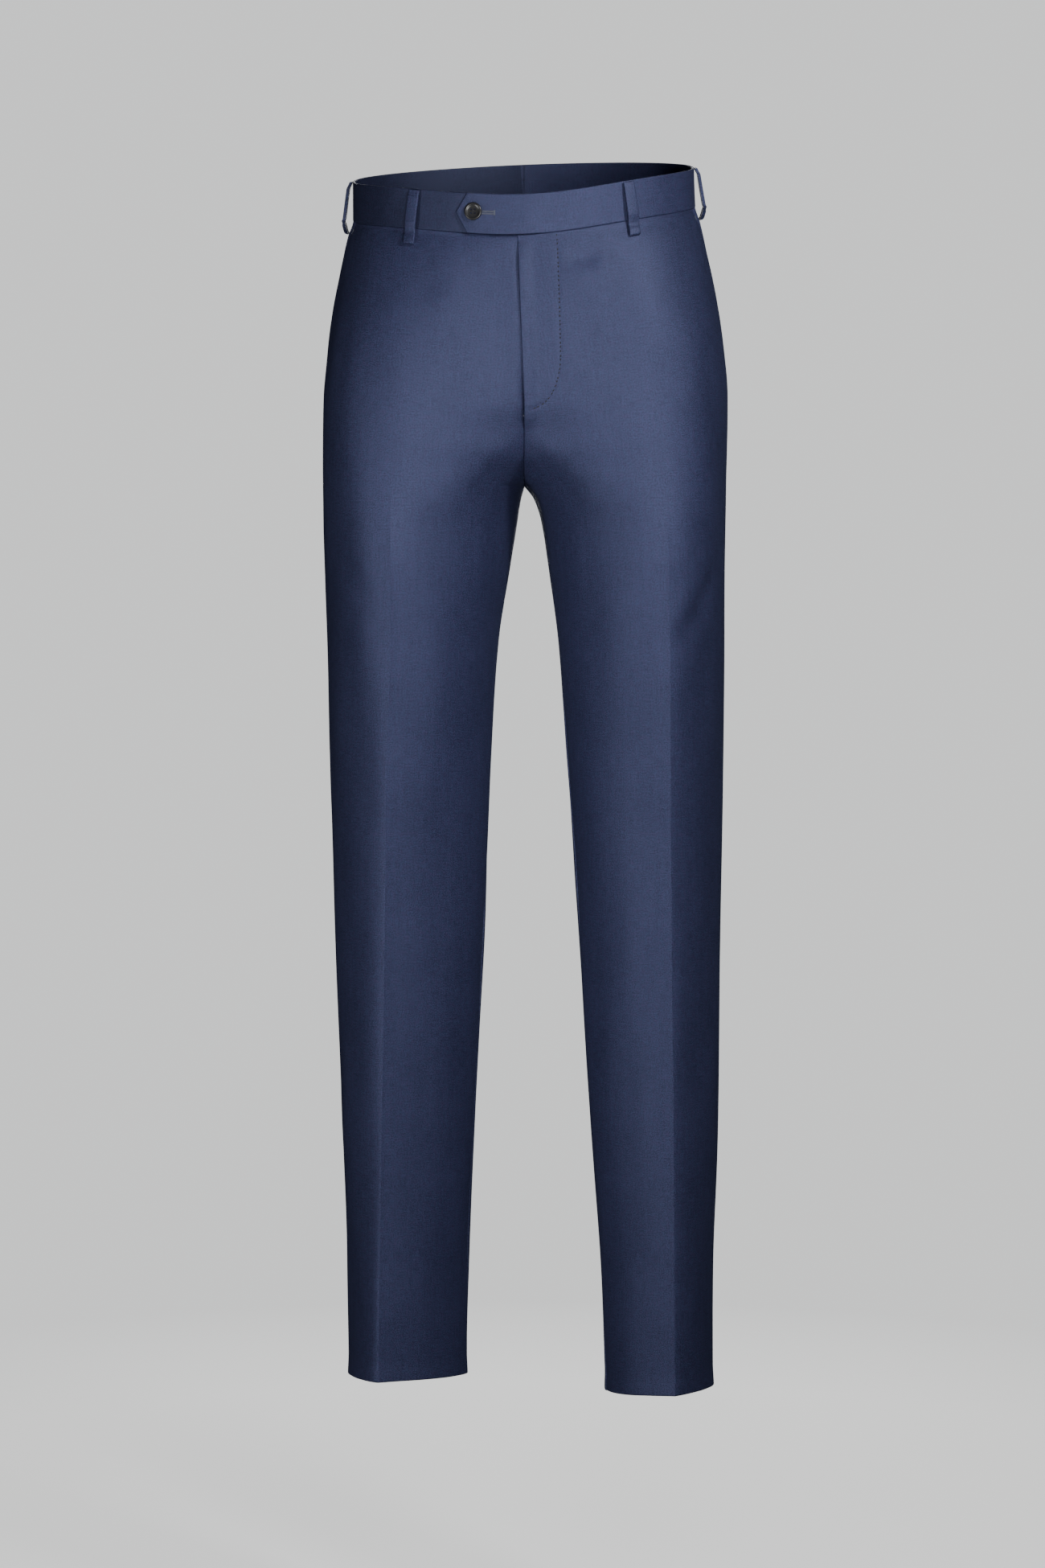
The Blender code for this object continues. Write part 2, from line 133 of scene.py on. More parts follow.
class Finish:
    # A Principled material and the one way to add a node to it.
    def __init__(self, name, **constants):
        self.material = bpy.data.materials.new(name)
        self.material.use_nodes = True
        self.tree = self.material.node_tree
        self.shader = self.tree.nodes["Principled BSDF"]
        for socket, value in constants.items():
            self.shader.inputs[socket.replace("_", " ")].default_value = value

    def node(self, kind, settings, sockets, output=0):
        made = self.tree.nodes.new("ShaderNode" + kind)
        for key, value in settings.items():
            setattr(made, key, value)
        for name, value in sockets.items():
            plug(self.tree, made.inputs[name], value)
        return Wire(self.tree, made.outputs[output])

    def feed(self, **values):
        for name, value in values.items():
            plug(self.tree, self.shader.inputs[name.replace("_", " ")], value)

    def blendOf(self, factor, first, second):
        # The Mix node's colour sockets are its seventh and eighth.
        return self.node("Mix", {"data_type": "RGBA"}, {0: factor, 6: first, 7: second}, output=2)

    def place(self):
        # Where a point lies on its object.
        return self.node("TexCoord", {}, {}, output=3)

    def noise(self, place, scale, detail, **sockets):
        return self.node("TexNoise", {}, {"Vector": place, "Scale": scale, "Detail": detail, **sockets})

    def bump(self, strength, depth, height):
        return self.node("Bump", {}, {"Strength": strength, "Distance": depth, "Height": height})


worsted = {
    "dark": (0.0095, 0.0125, 0.034, 1),
    "light": (0.051, 0.0665, 0.150, 1),
    "violet": (0.060, 0.0505, 0.130, 1),
    "patches": (3.2, 0.4),  # how strongly the violet changes from place to place, and its share
    "twillPitch": 1.35,  # millimetres between the twill's diagonal lines
    "twillSlope": 0.8,
    "twillWander": 2,
    # How each pattern is stretched across and along the cloth, its scale and its detail.
    "patterns": {
        "warp": ((1, 0.05, 1), 1500, 2),
        "weft": ((0.05, 1, 1), 1500, 2),
        "fleck": ((1, 0.8, 1), 1300, 3),
        "stripe": ((1, 0.04, 1), 260, 4),
        "patch": ((1, 0.7, 1), 330, 3),
        "cloud": ((1, 1, 1), 16, 3),
    },
    "shading": {"fleck": 5.2, "warp": 1.1, "weft": 1.1, "twill": 0.2, "stripe": 0.4, "cloud": 0.4},
    "relief": {"twill": 0.25, "fleck": 1.2, "warp": 0.5, "weft": 0.5},
    "depth": 0.12 * mm,
    # The run over which a band's painted sheen rises, in millimetres, and its offset, which leaves the band's
    # start in painted shade.
    "paintedSheenRun": 120,
    "paintedSheenStart": -0.6,
    "roughness": 0.6,
    "roughFleck": 0.2,
}


def makeWorsted(name, across=1.0, shade=1.0, paintedSheen=0.0):
    # across turns the twill on pieces cut the other way of the cloth. The last argument lightens a band along
    # its run: a painted highlight where the light falls on the band, and painted shade towards the left
    # band's tab.
    cloth = Finish(
        name, Sheen_Weight=0.03, Sheen_Roughness=0.4, Sheen_Tint=(0.42, 0.50, 0.85, 1),
        Specular_IOR_Level=1.0, Specular_Tint=(0.50, 0.56, 0.95, 1),
    )
    weave = cloth.node("UVMap", {"uv_map": "weave"}, {})
    scaled = cloth.node("VectorMath", {"operation": "SCALE"}, {0: weave, "Scale": 1000})
    u, v = (cloth.node("SeparateXYZ", {}, {0: scaled}, output=i) for i in (0, 1))
    wander = cloth.noise(scaled, 0.05, 2) * worsted["twillWander"]
    turn = 2 * math.pi / worsted["twillPitch"]
    parts = {"twill": ((u * across + v * worsted["twillSlope"] + wander) * turn).sine()}
    for part, (stretch, scale, detail) in worsted["patterns"].items():
        laid = cloth.node("Mapping", {"label": part}, {"Vector": weave, "Scale": stretch})
        parts[part] = cloth.noise(laid, scale, detail, Roughness=0.6) - 0.5

    def mixed(total, shares):
        for part, share in worsted[shares].items():
            total = total + parts[part] * share
        return total

    lightness = mixed(0.5, "shading")
    # Painted sheen: lighter along the band's run, as where the light from the right falls on it.
    if paintedSheen:
        run = (v / worsted["paintedSheenRun"] + 0.5).kept(0, 1)
        lightness = lightness + (run + worsted["paintedSheenStart"]) * paintedSheen
    dark, light, violet = [
        (*(part * shade for part in worsted[tone][:3]), 1) for tone in ("dark", "light", "violet")
    ]
    strength, share = worsted["patches"]
    lit = cloth.blendOf((parts["patch"] * strength + share).kept(0, 1), light, violet)
    cloth.feed(
        Base_Color=cloth.blendOf(lightness.kept(0, 1), dark, lit),
        Roughness=worsted["roughness"] + parts["fleck"] * worsted["roughFleck"],
        Normal=cloth.bump(0.5, worsted["depth"], mixed(0.0, "relief")),
    )
    return cloth.material


trims = {
    "thread": {"paler": 2.1, "twist": 5200, "depth": 0.1 * mm},
    "horn": {
        "dark": (0.010, 0.010, 0.011, 1), "light": (0.034, 0.034, 0.036, 1), "grain": 2600, "streak": 420,
    },
    "metal": {"dark": (0.22, 0.22, 0.23, 1), "light": (0.42, 0.42, 0.43, 1), "grain": 4200},
}


def makeThread(name, colour):
    look = trims["thread"]
    thread = Finish(name, Sheen_Weight=0.3, Roughness=0.55)
    twist = thread.noise(thread.place(), look["twist"], 2)
    pale = (*(min(part * look["paler"], 1) for part in colour[:3]), 1)
    thread.feed(
        Base_Color=thread.blendOf(twist, colour, pale),
        Normal=thread.bump(0.5, look["depth"], twist),
    )
    return thread.material


def makeHorn():
    look = trims["horn"]
    horn = Finish("horn", Specular_IOR_Level=0.6, IOR=1.54)
    place = horn.place()
    streaked = horn.node("Mapping", {}, {"Vector": place, "Rotation": (0, 0.5, 0), "Scale": (1, 1, 0.25)})
    streak = horn.noise(streaked, look["streak"], 5, Distortion=0.6)
    grain = horn.noise(place, look["grain"], 3)
    horn.feed(
        Base_Color=horn.blendOf(streak, look["dark"], look["light"]),
        Roughness=0.2 + grain * 0.18,
        Normal=horn.bump(0.12, 0.05 * mm, grain),
    )
    return horn.material


def makeMetal():
    look = trims["metal"]
    metal = Finish("zipMetal", Metallic=1.0)
    brushed = metal.node("Mapping", {}, {"Vector": metal.place(), "Scale": (1, 1, 0.08)})
    grain = metal.noise(brushed, look["grain"], 3)
    metal.feed(
        Base_Color=metal.blendOf(grain, look["dark"], look["light"]),
        Roughness=0.28 + grain * 0.2,
    )
    return metal.material


finishes = {
    "cloth": makeWorsted("worsted"),
    # The right band is a darker copy of the cloth: painted shade, where less light falls on it.
    "rightBand": makeWorsted("rightBandShadedWorsted", across=-0.8, shade=0.6),
    # The left band is a lighter copy of the cloth, with painted sheen along its run.
    "leftBand": makeWorsted("leftBandSheenWorsted", across=-0.8, shade=1.05, paintedSheen=0.35),
    # The facings are a much lighter copy of the cloth: painted light, where the side light falls on the
    # strip.
    "facing": makeWorsted("facingLitWorsted", across=0.7, shade=2.2),
    "loop": makeWorsted("loopWorsted", across=-1.0),
    # Navy thread made near black, darker than the cloth, to stand in for the shade in the dimples round each
    # stitch: partly the thread's own colour, partly painted shade.
    "thread": makeThread("navyThreadPaintedShade", (0.002, 0.003, 0.009, 1)),
    "tack": makeThread("tackThread", (0.085, 0.095, 0.135, 1)),
    "tape": makeWorsted("zipTape", across=0.0, shade=0.8),
    "horn": makeHorn(),
    "metal": makeMetal(),
}
print("materials made")

# The form that every piece of cloth is laid on: a section of half the trousers at every height, run off from
# the centre seam or the inseam round to the side seam. Millimetres in the tables, metres outside them.
form = {
    "tilt": 0.0407,
    "oval": 0.74,
    "hemSlope": 0.12,
    "mixSteps": (-1, -0.66, -0.33, 0.33, 0.66, 1),
    **inMetres(band=35, hipFade=260, crotch=-268, hem=-1090, rise=13.5, pitch=17, dip=9, hemFade=120),
    **inMetres(legMiddle=125, sideShift=5, inseamAhead=8, inseamFade=70, hold=22),
    **inMetres(mixReach=15, mixHeight=46, mixFade=(6, 24), waveFade=60, centreFade=5),
}
# Above the crotch the halves meet on the centre line, and inner there only steers the curve into the table's
# next row.
outlineColumns = (
    "height", "rightOuter", "rightInner", "rightFrontCrease", "rightBackCrease",
    "leftOuter", "leftInner", "leftFrontCrease", "leftBackCrease",
)
outlines = (
    (20, 155, 0, 97, 74, 153, 0, 90, 74),
    (-35, 155, 0, 98, 76, 155, 0, 93, 76),
    (-50, 160, 0, 99, 77, 159.8, 0, 95, 77),
    (-75, 165.5, 0, 101, 78, 165.5, 0, 99, 78),
    (-110, 172.3, 0, 105, 80, 172.8, 0, 105, 80),
    (-150, 178, 0, 109, 82, 179.5, 0, 111, 82),
    (-190, 182, 0, 112, 83, 183.6, 0, 116, 83),
    (-230, 182.6, -9.5, 115, 82, 184, -28.5, 120, 82),
    (-268, 182.8, 0, 117, 80, 183.7, 0, 124, 80),
    (-280, 182.8, 3, 117, 80, 183.7, 9, 125, 80),
    (-300, 182.7, 6.2, 118, 78, 183.6, 15.4, 126, 78),
    (-340, 181.6, 12.6, 118, 76, 183.4, 21.6, 128, 78.2),
    (-410, 180, 23.2, 118.5, 84.7, 183.2, 30.6, 129, 87.2),
    (-510, 178.1, 29.6, 122.8, 85, 182, 39.2, 130, 92.5),
    (-680, 173.3, 36.5, 125.5, 84.3, 180.3, 50.5, 132, 98.8),
    (-850, 168.9, 45.3, 129, 85.2, 178.4, 60.8, 134.5, 104.7),
    (-980, 163.6, 51.5, 131.5, 83.6, 175.2, 70.3, 135.5, 110),
    (-1110, 163.2, 53, 133, 83.2, 174.5, 77, 136.8, 114.7),
)
depthColumns = (
    "height", "front", "back", "side", "frontFork", "backFork", "crest", "frontFull", "backFull", "forkFull",
)
depths = (
    (20, -115, 113, 0, -115, 113, 0, 2.3, 2.05, 2),
    (-35, -115, 115, 0, -115, 115, 0, 2.3, 2.05, 2),
    (-50, -116, 120, 1, -116, 120, 0.12, 2.4, 2.08, 1.8),
    (-75, -118, 128, 2, -118, 127, 0.3, 2.55, 2.1, 1.5),
    (-110, -120, 138, 3, -119, 136, 0.5, 2.7, 2.12, 1.3),
    (-150, -120.5, 146.5, 4, -118, 143, 0.68, 2.8, 2.12, 1.2),
    (-190, -120, 149, 5, -113, 143, 0.8, 2.8, 2.1, 1.2),
    (-215, -119, 147.5, 5.5, -104, 137, 0.86, 2.75, 2.07, 1.27),
    (-240, -117.8, 143, 6, -90, 119, 0.91, 2.66, 2.04, 1.46),
    (-256, -116.9, 138, 6, -61, 88, 0.935, 2.6, 2.02, 1.72),
    (-265, -116.3, 134.5, 6, -24, 44, 0.948, 2.56, 2.01, 2.06),
    (-268, -116.1, 133.2, 6, 8, 8, 0.952, 2.55, 2.005, 2.33),
    (-280, -115.4, 128, 5.8, 7.5, 7.5, 0.967, 2.48, 1.99, 2.2),
    (-300, -114, 120.5, 5, 7, 7, 0.985, 2.38, 1.965, 2.02),
    (-340, -111, 108, 3, 5, 5, 1, 2.16, 1.92, 1.97),
    (-410, -104, 95, -1, 3, 3, 1, 1.9, 1.88, 1.92),
    (-510, -94, 84, -4, 2, 2, 1, 1.7, 1.84, 1.85),
    (-680, -78, 70, -5, 2, 2, 1, 1.6, 1.8, 1.78),
    (-850, -71, 67, -4, 3, 3, 1, 1.58, 1.8, 1.75),
    (-980, -68, 68, -3, 4, 4, 1, 1.58, 1.8, 1.75),
    (-1110, -66, 68, -2, 5, 5, 1, 1.58, 1.8, 1.75),
)
stances = {
    "right": {"innerDrop": 0.0, **inMetres(swing=4, hem=-1091)},
    "left": {"innerDrop": 0.06, **inMetres(swing=-14, hem=-1100)},
}


def smooth(low, high, value):
    share = np.clip((value - low) / (high - low), 0, 1)
    return share * share * (3 - 2 * share)


def slopesThrough(heights, values):
    rise = np.diff(values) / np.diff(heights)
    below = np.concatenate((rise[:1], rise))
    above = np.concatenate((rise, rise[-1:]))
    together = below * above > 0
    return np.where(together, 2 * below * above / np.where(together, below + above, 1), 0)


@functools.cache
def curvesOf(name):
    rows, columns = (depths, depthColumns) if name == "depth" else (outlines, outlineColumns)
    values = np.array(rows[::-1], float)
    heights = values[:, 0] * mm
    return heights, {
        column: (values[:, i], slopesThrough(heights, values[:, i])) for i, column in enumerate(columns)
    }


def readTable(name, column, height):
    # A smooth curve through the table's rows that never swings past them.
    heights, columns = curvesOf(name)
    values, slopes = columns[column]
    height = min(max(height, heights[0]), heights[-1])
    i = min(int(np.searchsorted(heights, height, side="right")), len(heights) - 1) - 1
    step = heights[i + 1] - heights[i]
    t = (height - heights[i]) / step
    return (
        values[i] * (1 + 2 * t) * (1 - t) ** 2
        + slopes[i] * step * t * (1 - t) ** 2
        + values[i + 1] * t * t * (3 - 2 * t)
        + slopes[i + 1] * step * t * t * (t - 1)
    )


def innerEdge(side, height):
    return readTable("outline", side + "Inner", height) * mm if height < form["crotch"] else 0.0


def creaseSpot(side, face, height):
    return readTable("outline", side + face.capitalize() + "Crease", height) * mm


def creaseWidth(side, face, height):
    return creaseSpot(side, face, height) - innerEdge(side, height)


@functools.cache
def plainSection(side, face, height):
    outer = readTable("outline", side + "Outer", height) * mm
    inner = innerEdge(side, height)
    reach, fork, sideDepth, crest, full, forkFull = (
        readTable("depth", column, height)
        for column in (face, face + "Fork", "side", "crest", face + "Full", "forkFull")
    )
    reach, fork, sideDepth = reach * mm, fork * mm, sideDepth * mm
    crest = max(creaseSpot(side, face, height) * crest, inner + 1 * mm)
    turn = np.linspace(0, math.pi / 2, 160)
    sine, cosine = np.sin(turn), np.cos(turn).clip(0)
    innerX = inner + (crest - inner) * (1 - cosine ** (2 / forkFull))
    innerY = fork + (reach - fork) * sine ** (2 / forkFull)
    outerX = crest + (outer - crest) * sine ** (2 / full)
    outerY = sideDepth + (reach - sideDepth) * cosine ** (2 / full)
    x = np.concatenate((innerX, outerX[1:]))
    y = np.concatenate((innerY, outerY[1:]))
    return inner, x, y + stances[side]["swing"] * smooth(form["crotch"], form["hem"], height)


def runsAlong(x, y):
    return np.concatenate(([0], np.cumsum(np.hypot(np.diff(x), np.diff(y)))))


@functools.cache
def halfSection(side, face, height):
    # Beside the crotch the sections a little higher and lower are mixed in, so that the thigh runs on evenly.
    inner, x, y = plainSection(side, face, height)
    reach = form["mixReach"] * (1 - (abs(height - form["crotch"]) / form["mixHeight"]) ** 2)
    if reach > 0:
        near = [plainSection(side, face, height + reach * step)[1:] for step in form["mixSteps"]]
        mixed = np.mean([y] + [np.interp(x, *other) for other in near], axis=0)
        inward = x < creaseSpot(side, face, height) * 1.1
        y = y + (mixed - y) * smooth(*form["mixFade"], x - inner) * inward
    return runsAlong(x, y), x, y


@functools.cache
def wholeSection(side, face, height):
    # The half section, gone on over the centre line or round the inseam, and on round the other face.
    runs, x, y = halfSection(side, face, height)
    otherRuns, otherX, otherY = halfSection(side, "back" if face == "front" else "front", height)
    total = runs[-1] + otherRuns[-1]
    after = (total - otherRuns[-2::-1], otherX[-2::-1], otherY[-2::-1])
    if height >= form["crotch"]:
        before = (-runs[:0:-1], -x[:0:-1], y[:0:-1])
        beyond = (total + otherRuns[1:], -otherX[1:], otherY[1:])
    else:
        before = (-otherRuns[:0:-1], otherX[:0:-1], otherY[:0:-1])
        beyond = (total + runs[1:], x[1:], y[1:])
    return tuple(np.concatenate(parts) for parts in zip(before, (runs, x, y), after, beyond))


@functools.cache
def lengthOf(side, face, height):
    return float(halfSection(side, face, height)[0][-1])


@functools.cache
def creaseRun(side, face, height):
    runs, x, y = halfSection(side, face, height)
    return float(np.interp(creaseSpot(side, face, height), x, runs))


def rowOnForm(side, face, runs, height):
    lengths, x, y = wholeSection(side, face, height)
    x = np.interp(runs, lengths, x) * sides[side]
    y = np.interp(runs, lengths, y)
    ahead = -y / np.hypot(x * form["oval"], y)
    waist = form["rise"] - form["pitch"] * ahead - form["dip"] * np.maximum(ahead, 0) ** 6 + form["tilt"] * x
    stance = stances[side]
    hem = stance["hem"] - form["hem"] - form["hemSlope"] * (y - stance["swing"])
    hem = hem + stance["innerDrop"] * (abs(x) - form["legMiddle"])
    z = height + waist * smooth(-form["hipFade"], -form["band"], height)
    return np.stack((x, y, z + hem * smooth(form["hem"] + form["hemFade"], form["hem"], height)), axis=-1)


def besideRow(side, face, runs, height, step):
    shift = creaseRun(side, face, height + step) - creaseRun(side, face, height)
    return rowOnForm(side, face, runs + shift, height + step)


def layOut(side, face, runs, heights):
    # Points and outward directions for a grid of runs, a row for each height. The way down is taken at one
    # distance from the crease, because distances from the seam jump at the crotch.
    points, higher, lower = [
        np.stack([besideRow(side, face, row, float(height), step) for row, height in zip(runs, heights)])
        for step in (0, 0.5 * mm, -0.5 * mm)
    ]
    normals = np.cross(np.gradient(points, axis=1), lower - higher)
    # On the centre line both sides face the same way, so that they stay closed.
    beside = smooth(0, form["centreFade"], np.abs(points[..., 0]))
    normals[..., 0] *= np.where(np.array(heights)[:, None] > form["crotch"], beside, 1)
    normals /= np.linalg.norm(normals, axis=-1, keepdims=True)
    return points, normals * sides[side] * (1 if face == "back" else -1)


def spotAt(side, run, height, out):
    # One point out from the form's front, and the way it faces.
    step = 1 * mm
    runs = np.array([[run - step, run, run + step]] * 3)
    points, normals = layOut(side, "front", runs, np.array((height + step, height, height - step)))
    normal = Vector(normals[1, 1])
    return Vector(points[1, 1]) + normal * float(out), normal


def standing(point, normal):
    turn = normal.to_track_quat("Z", "Y").to_matrix().to_4x4()
    return Matrix.Translation(point) @ turn


def ofRows(measure, heights, *where):
    return np.array([measure(*where, float(height)) for height in heights])


def bell(distance, width):
    return np.exp(-((distance / width) ** 2))


def steps(*stretches):
    # Distances in order, from stretches of (start, end, step) in millimetres.
    parts = [
        np.linspace(start, end, max(round(abs(end - start) / step), 1), endpoint=False)
        for start, end, step in stretches
    ]
    return np.append(np.concatenate(parts), stretches[-1][1]) * mm


# How the cloth lies on the form: pressed creases, folds and the soft unevenness of hung cloth.
press = {
    "front": inMetres(top=-258, full=-350, height=3.6, width=14),
    "back": inMetres(top=-300, full=-480, height=3.2, width=18),
    **inMetres(edge=0.3, edgeWidth=1.4),
}
# Millimetres from the crease outwards, and down, at each end. A hollow's depth is negative.
foldColumns = ("startAcross", "startHeight", "endAcross", "endHeight", "width", "depth")
folds = {
    ("left", "front"): (
        (58, -338, 8, -412, 13, -2.6), (50, -326, 0, -398, 12, 1.4),
        (-60, -55, -32, -66, 7.5, -2.4), (-70, -72, -20, -84, 9, 0.7),
        (-80, -170, -62, -182, 8, -0.7), (-124, -212, -80, -262, 12, 1.1),
        (-118, -226, -84, -290, 9, -1.0), (-100, -332, 60, -334, 7, 0.35),
        (58, -150, 66, -210, 12, -0.9), (-44, -560, 36, -600, 22, -0.7),
        (-40, -640, 30, -690, 24, 0.6), (-46, -960, 24, -1010, 20, -0.6),
    ),
    ("right", "front"): (
        (-116, -216, -70, -268, 11, 0.9), (-108, -232, -72, -292, 10, -0.9),
        (54, -330, 14, -380, 12, -1.0), (60, -120, 66, -190, 12, -0.9),
        (-40, -70, -10, -92, 12, -0.7), (-46, -590, 34, -560, 22, -0.6),
        (-42, -700, 26, -650, 24, 0.6), (-44, -1000, 26, -950, 20, -0.6),
    ),
    ("left", "back"): (
        (-62, -262, 34, -306, 13, -2.2), (-60, -282, 30, -330, 12, 1.3),
        (-50, -322, 44, -352, 14, -1.6), (-40, -560, 40, -590, 18, -2.0),
        (-36, -588, 38, -620, 14, 1.2), (-44, -618, 30, -640, 16, -1.2),
        (-36, -960, 40, -1000, 20, -0.9),
    ),
    ("right", "back"): (
        (-60, -258, 40, -298, 14, -2.0), (-58, -280, 34, -322, 12, 1.2),
        (-44, -330, 48, -344, 14, -1.4), (-40, -590, 40, -556, 18, -1.9),
        (-38, -622, 40, -588, 14, 1.2), (-36, -650, 34, -622, 15, -1.0),
        (-40, -1010, 36, -970, 20, -0.9),
    ),
}
# How each wave of the unevenness runs: wavelengths across and down, and its height, in millimetres.
waves = ((95, 420, 0.34), (61, -310, 0.2), (140, 250, 0.3), (38, 530, 0.1), (-74, 170, 0.14))


def pressRelief(face, across, heights):
    crease = press[face]
    fade = smooth(crease["top"], crease["full"], heights)
    sharp = press["edge"] * np.exp(-np.abs(across) / press["edgeWidth"])
    return (crease["height"] * np.exp(-np.abs(across) / crease["width"]) + sharp) * fade


def foldRelief(side, face, across, heights):
    total = np.zeros(np.broadcast(across, heights).shape)
    for row in folds[side, face]:
        fold = {name: value * mm for name, value in zip(foldColumns, row)}
        toEnd = np.array((fold["endAcross"] - fold["startAcross"], fold["endHeight"] - fold["startHeight"]))
        length = np.hypot(*toEnd)
        ahead = toEnd / length
        x, y = across - fold["startAcross"], heights - fold["startHeight"]
        share = (x * ahead[0] + y * ahead[1]) / length
        aside = x * ahead[1] - y * ahead[0]
        taper = smooth(-0.15, 0.35, share) * smooth(1.15, 0.6, share)
        total += fold["depth"] * taper * bell(aside, fold["width"])
    return total


def waveRelief(side, face, across, heights):
    start = sides[side] * 1.7 + (0.6 if face == "front" else 2.9)
    total = 0
    for i, (wide, long, height) in enumerate(waves):
        phase = 2 * math.pi * (across / (wide * mm) + heights / (long * mm)) + start * (i + 1)
        total = total + height * mm * np.sin(phase)
    return total * smooth(0, form["waveFade"], -form["band"] - heights)


def reliefOf(side, face, runs, heights):
    across, down = runs - ofRows(creaseRun, heights, side, face)[:, None], heights[:, None]
    laid = pressRelief(face, across, down) + foldRelief(side, face, across, down)
    return laid + waveRelief(side, face, across, down)


def heldAtBand(height):
    # The cloth is held where it is sewn to the band.
    return smooth(0, form["hold"], -form["band"] - height)


# "seam" is how the cloth rolls into a seam. Columns lie at "edge" from each edge, and at "crease" from it.
cloth = inMetres(
    thick=1.1, seam=0.9, gap=0.05, edge=(0, 0.06, 0.22, 0.5, 0.9, 1.6, 3.2),
    crease=(-10, -6, -3.4, -1.8, -0.8, -0.3, 0, 0.3, 0.8, 1.8, 3.4, 6, 10),
)


def roundedEdge(distance, radius=cloth["seam"]):
    # How far the cloth's face falls away at a folded edge or into a seam.
    near = np.clip(distance / radius, 0, 1)
    return radius * (1 - np.sqrt(1 - (1 - near) ** 2))


# Making a piece


def finishPiece(bm, name, finish, replaced=()):
    bmesh.ops.recalc_face_normals(bm, faces=bm.faces[:])
    if bm.calc_volume(signed=True) < 0:
        bmesh.ops.reverse_faces(bm, faces=bm.faces[:])
    mesh = meshFrom(bm, name)
    mesh.materials.append(finishes[finish])
    mesh.shade_smooth()
    mesh.set_sharp_from_angle(angle=math.radians(50))
    piece = placed(name, mesh)
    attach(piece, "root")
    if replaced:
        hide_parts(*replaced)
    return piece


def clothShell(name, laid, out, thick, weave, finish, replaced, slot="worsted"):
    # A grid that lies out from the form, and its extruded copy on the inner face. laid is what layOut is
    # told, and weave is where each point is on the cloth.
    points, normals = layOut(*laid)
    outer = points + normals * np.asarray(out)[..., None]
    inner = outer - normals * np.asarray(thick)[..., None]
    weave = np.stack(np.broadcast_arrays(*weave), axis=-1)
    rows, columns = outer.shape[:2]
    bm = bmesh.new()
    bmesh.ops.create_grid(bm, x_segments=columns - 1, y_segments=rows - 1, size=0.5)

    def spotOf(vert):
        return round((0.5 - vert.co.y) * (rows - 1)), round((vert.co.x + 0.5) * (columns - 1))

    spots = {vert: spotOf(vert) for vert in bm.verts}
    grown = bmesh.ops.extrude_face_region(bm, geom=bm.faces[:], use_keep_orig=True)["geom"]
    below = {item: spotOf(item) for item in grown if isinstance(item, bmesh.types.BMVert)}
    for vert, spot in spots.items():
        vert.co = outer[spot]
    for vert, spot in below.items():
        vert.co = inner[spot]
    spots.update(below)
    layer = bm.loops.layers.uv.new("weave")
    for face in bm.faces:
        for loop in face.loops:
            loop[layer].uv = weave[spots[loop.vert]]
    return finishPiece(bm, name, finish, replaced)


panelRows = steps(
    (-35.05, -36, 0.3), (-36, -40, 1), (-40, -165, 4), (-165, -212, 1.7), (-212, -244, 3), (-244, -262, 2),
    (-262, -274, 1.2), (-274, -300, 2.6), (-300, -1075, 4.2), (-1075, -1086, 1.6), (-1086, -1090, 0.5),
)


def spread(start, crease, end, near, counts, steady):
    # Columns close together at both edges and at the crease. Between the first edge and the crease they keep
    # to the crease's side, so that they run straight past the crotch, where that edge turns under.
    left = start[:, None] + near
    middle = crease[:, None] + cloth["crease"]
    right = end[:, None] - cloth["edge"][::-1]
    shares = [np.linspace(0, 1, count)[1:-1] for count in counts]
    reach, back = middle[:, :1] - left[:, -1:], 1 - shares[0]
    even = np.minimum(steady[:, None] - near[..., -1:], reach)
    first = middle[:, :1] - even * back - (reach - even) * back ** 4
    second = middle[:, -1:] + (right[:, :1] - middle[:, -1:]) * shares[1]
    return np.hstack((left, first, middle, second, right))


def inseamShift(height):
    return form["inseamAhead"] * smooth(form["crotch"], form["crotch"] - form["inseamFade"], height)


# The facing goes on below the front as far as "under".
pocket = {"bend": 1.25, **inMetres(width=38, foot=-205, gape=0.7, gapeWidth=30, under=24, depth=1.5)}
# The side below the lap is drawn in beside it, by "sink". The fine columns beside the lap narrow below it.
fly = {
    "fine": (1.4, 35.8, 1.5),
    "fineFoot": 0.3,
    **inMetres(lap=6.2, foot=-205, lapFoot=-195, under=3, lift=2.1, ramp=(15, 3), fade=14, sink=1.7),
    **inMetres(sinkWidth=2.4, tabSink=1.0, fineFade=(-255, -212)),
}
band = {
    "rows": steps((0, 0.5, 0.12), (0.5, 2, 0.5), (2, 33, 2.2), (33, 34.4, 0.5), (34.4, 34.95, 0.14)),
    **inMetres(thick=2.2, tab=60, tabFade=(60, 48), point=10, lift=2.7, ramp=(26, 4), sway=0.28, fold=0.9),
}


def belowBand(height, foot):
    # How much of the way from the band to a foot lies above this height.
    return np.clip((-form["band"] - height) / (-form["band"] - foot), 0, 1)


def mouthRun(side, height):
    back = pocket["width"] * (1 - belowBand(height, pocket["foot"]) ** pocket["bend"])
    return lengthOf(side, "front", height) + form["sideShift"] - back


def flyEdge(height):
    return fly["lap"] * (1 - belowBand(height, fly["lapFoot"]))


def frontEnds(side, height):
    gap = cloth["gap"] / 2
    start = gap + inseamShift(height)
    if height > fly["foot"]:
        start = -flyEdge(height) + gap if side == "left" else max(flyEdge(height) - fly["under"], gap)
    end = lengthOf(side, "front", height) + form["sideShift"] - gap
    if height > pocket["foot"]:
        end = mouthRun(side, height) - gap
    return float(start), float(end)


def backEnds(side, height):
    gap = cloth["gap"] / 2
    return gap - float(inseamShift(height)), lengthOf(side, "back", height) - form["sideShift"] - gap


hem = inMetres(turn=38, thick=1.9, fold=0.9, flare=0.9, flareHeight=20)


def besideFly(down):
    return smooth(fly["foot"] - fly["fade"], fly["foot"], down)


def flyLift(fromEdge, down):
    # The left front stands up where it laps over the right.
    return fly["lift"] * smooth(*fly["ramp"], fromEdge) * besideFly(down)


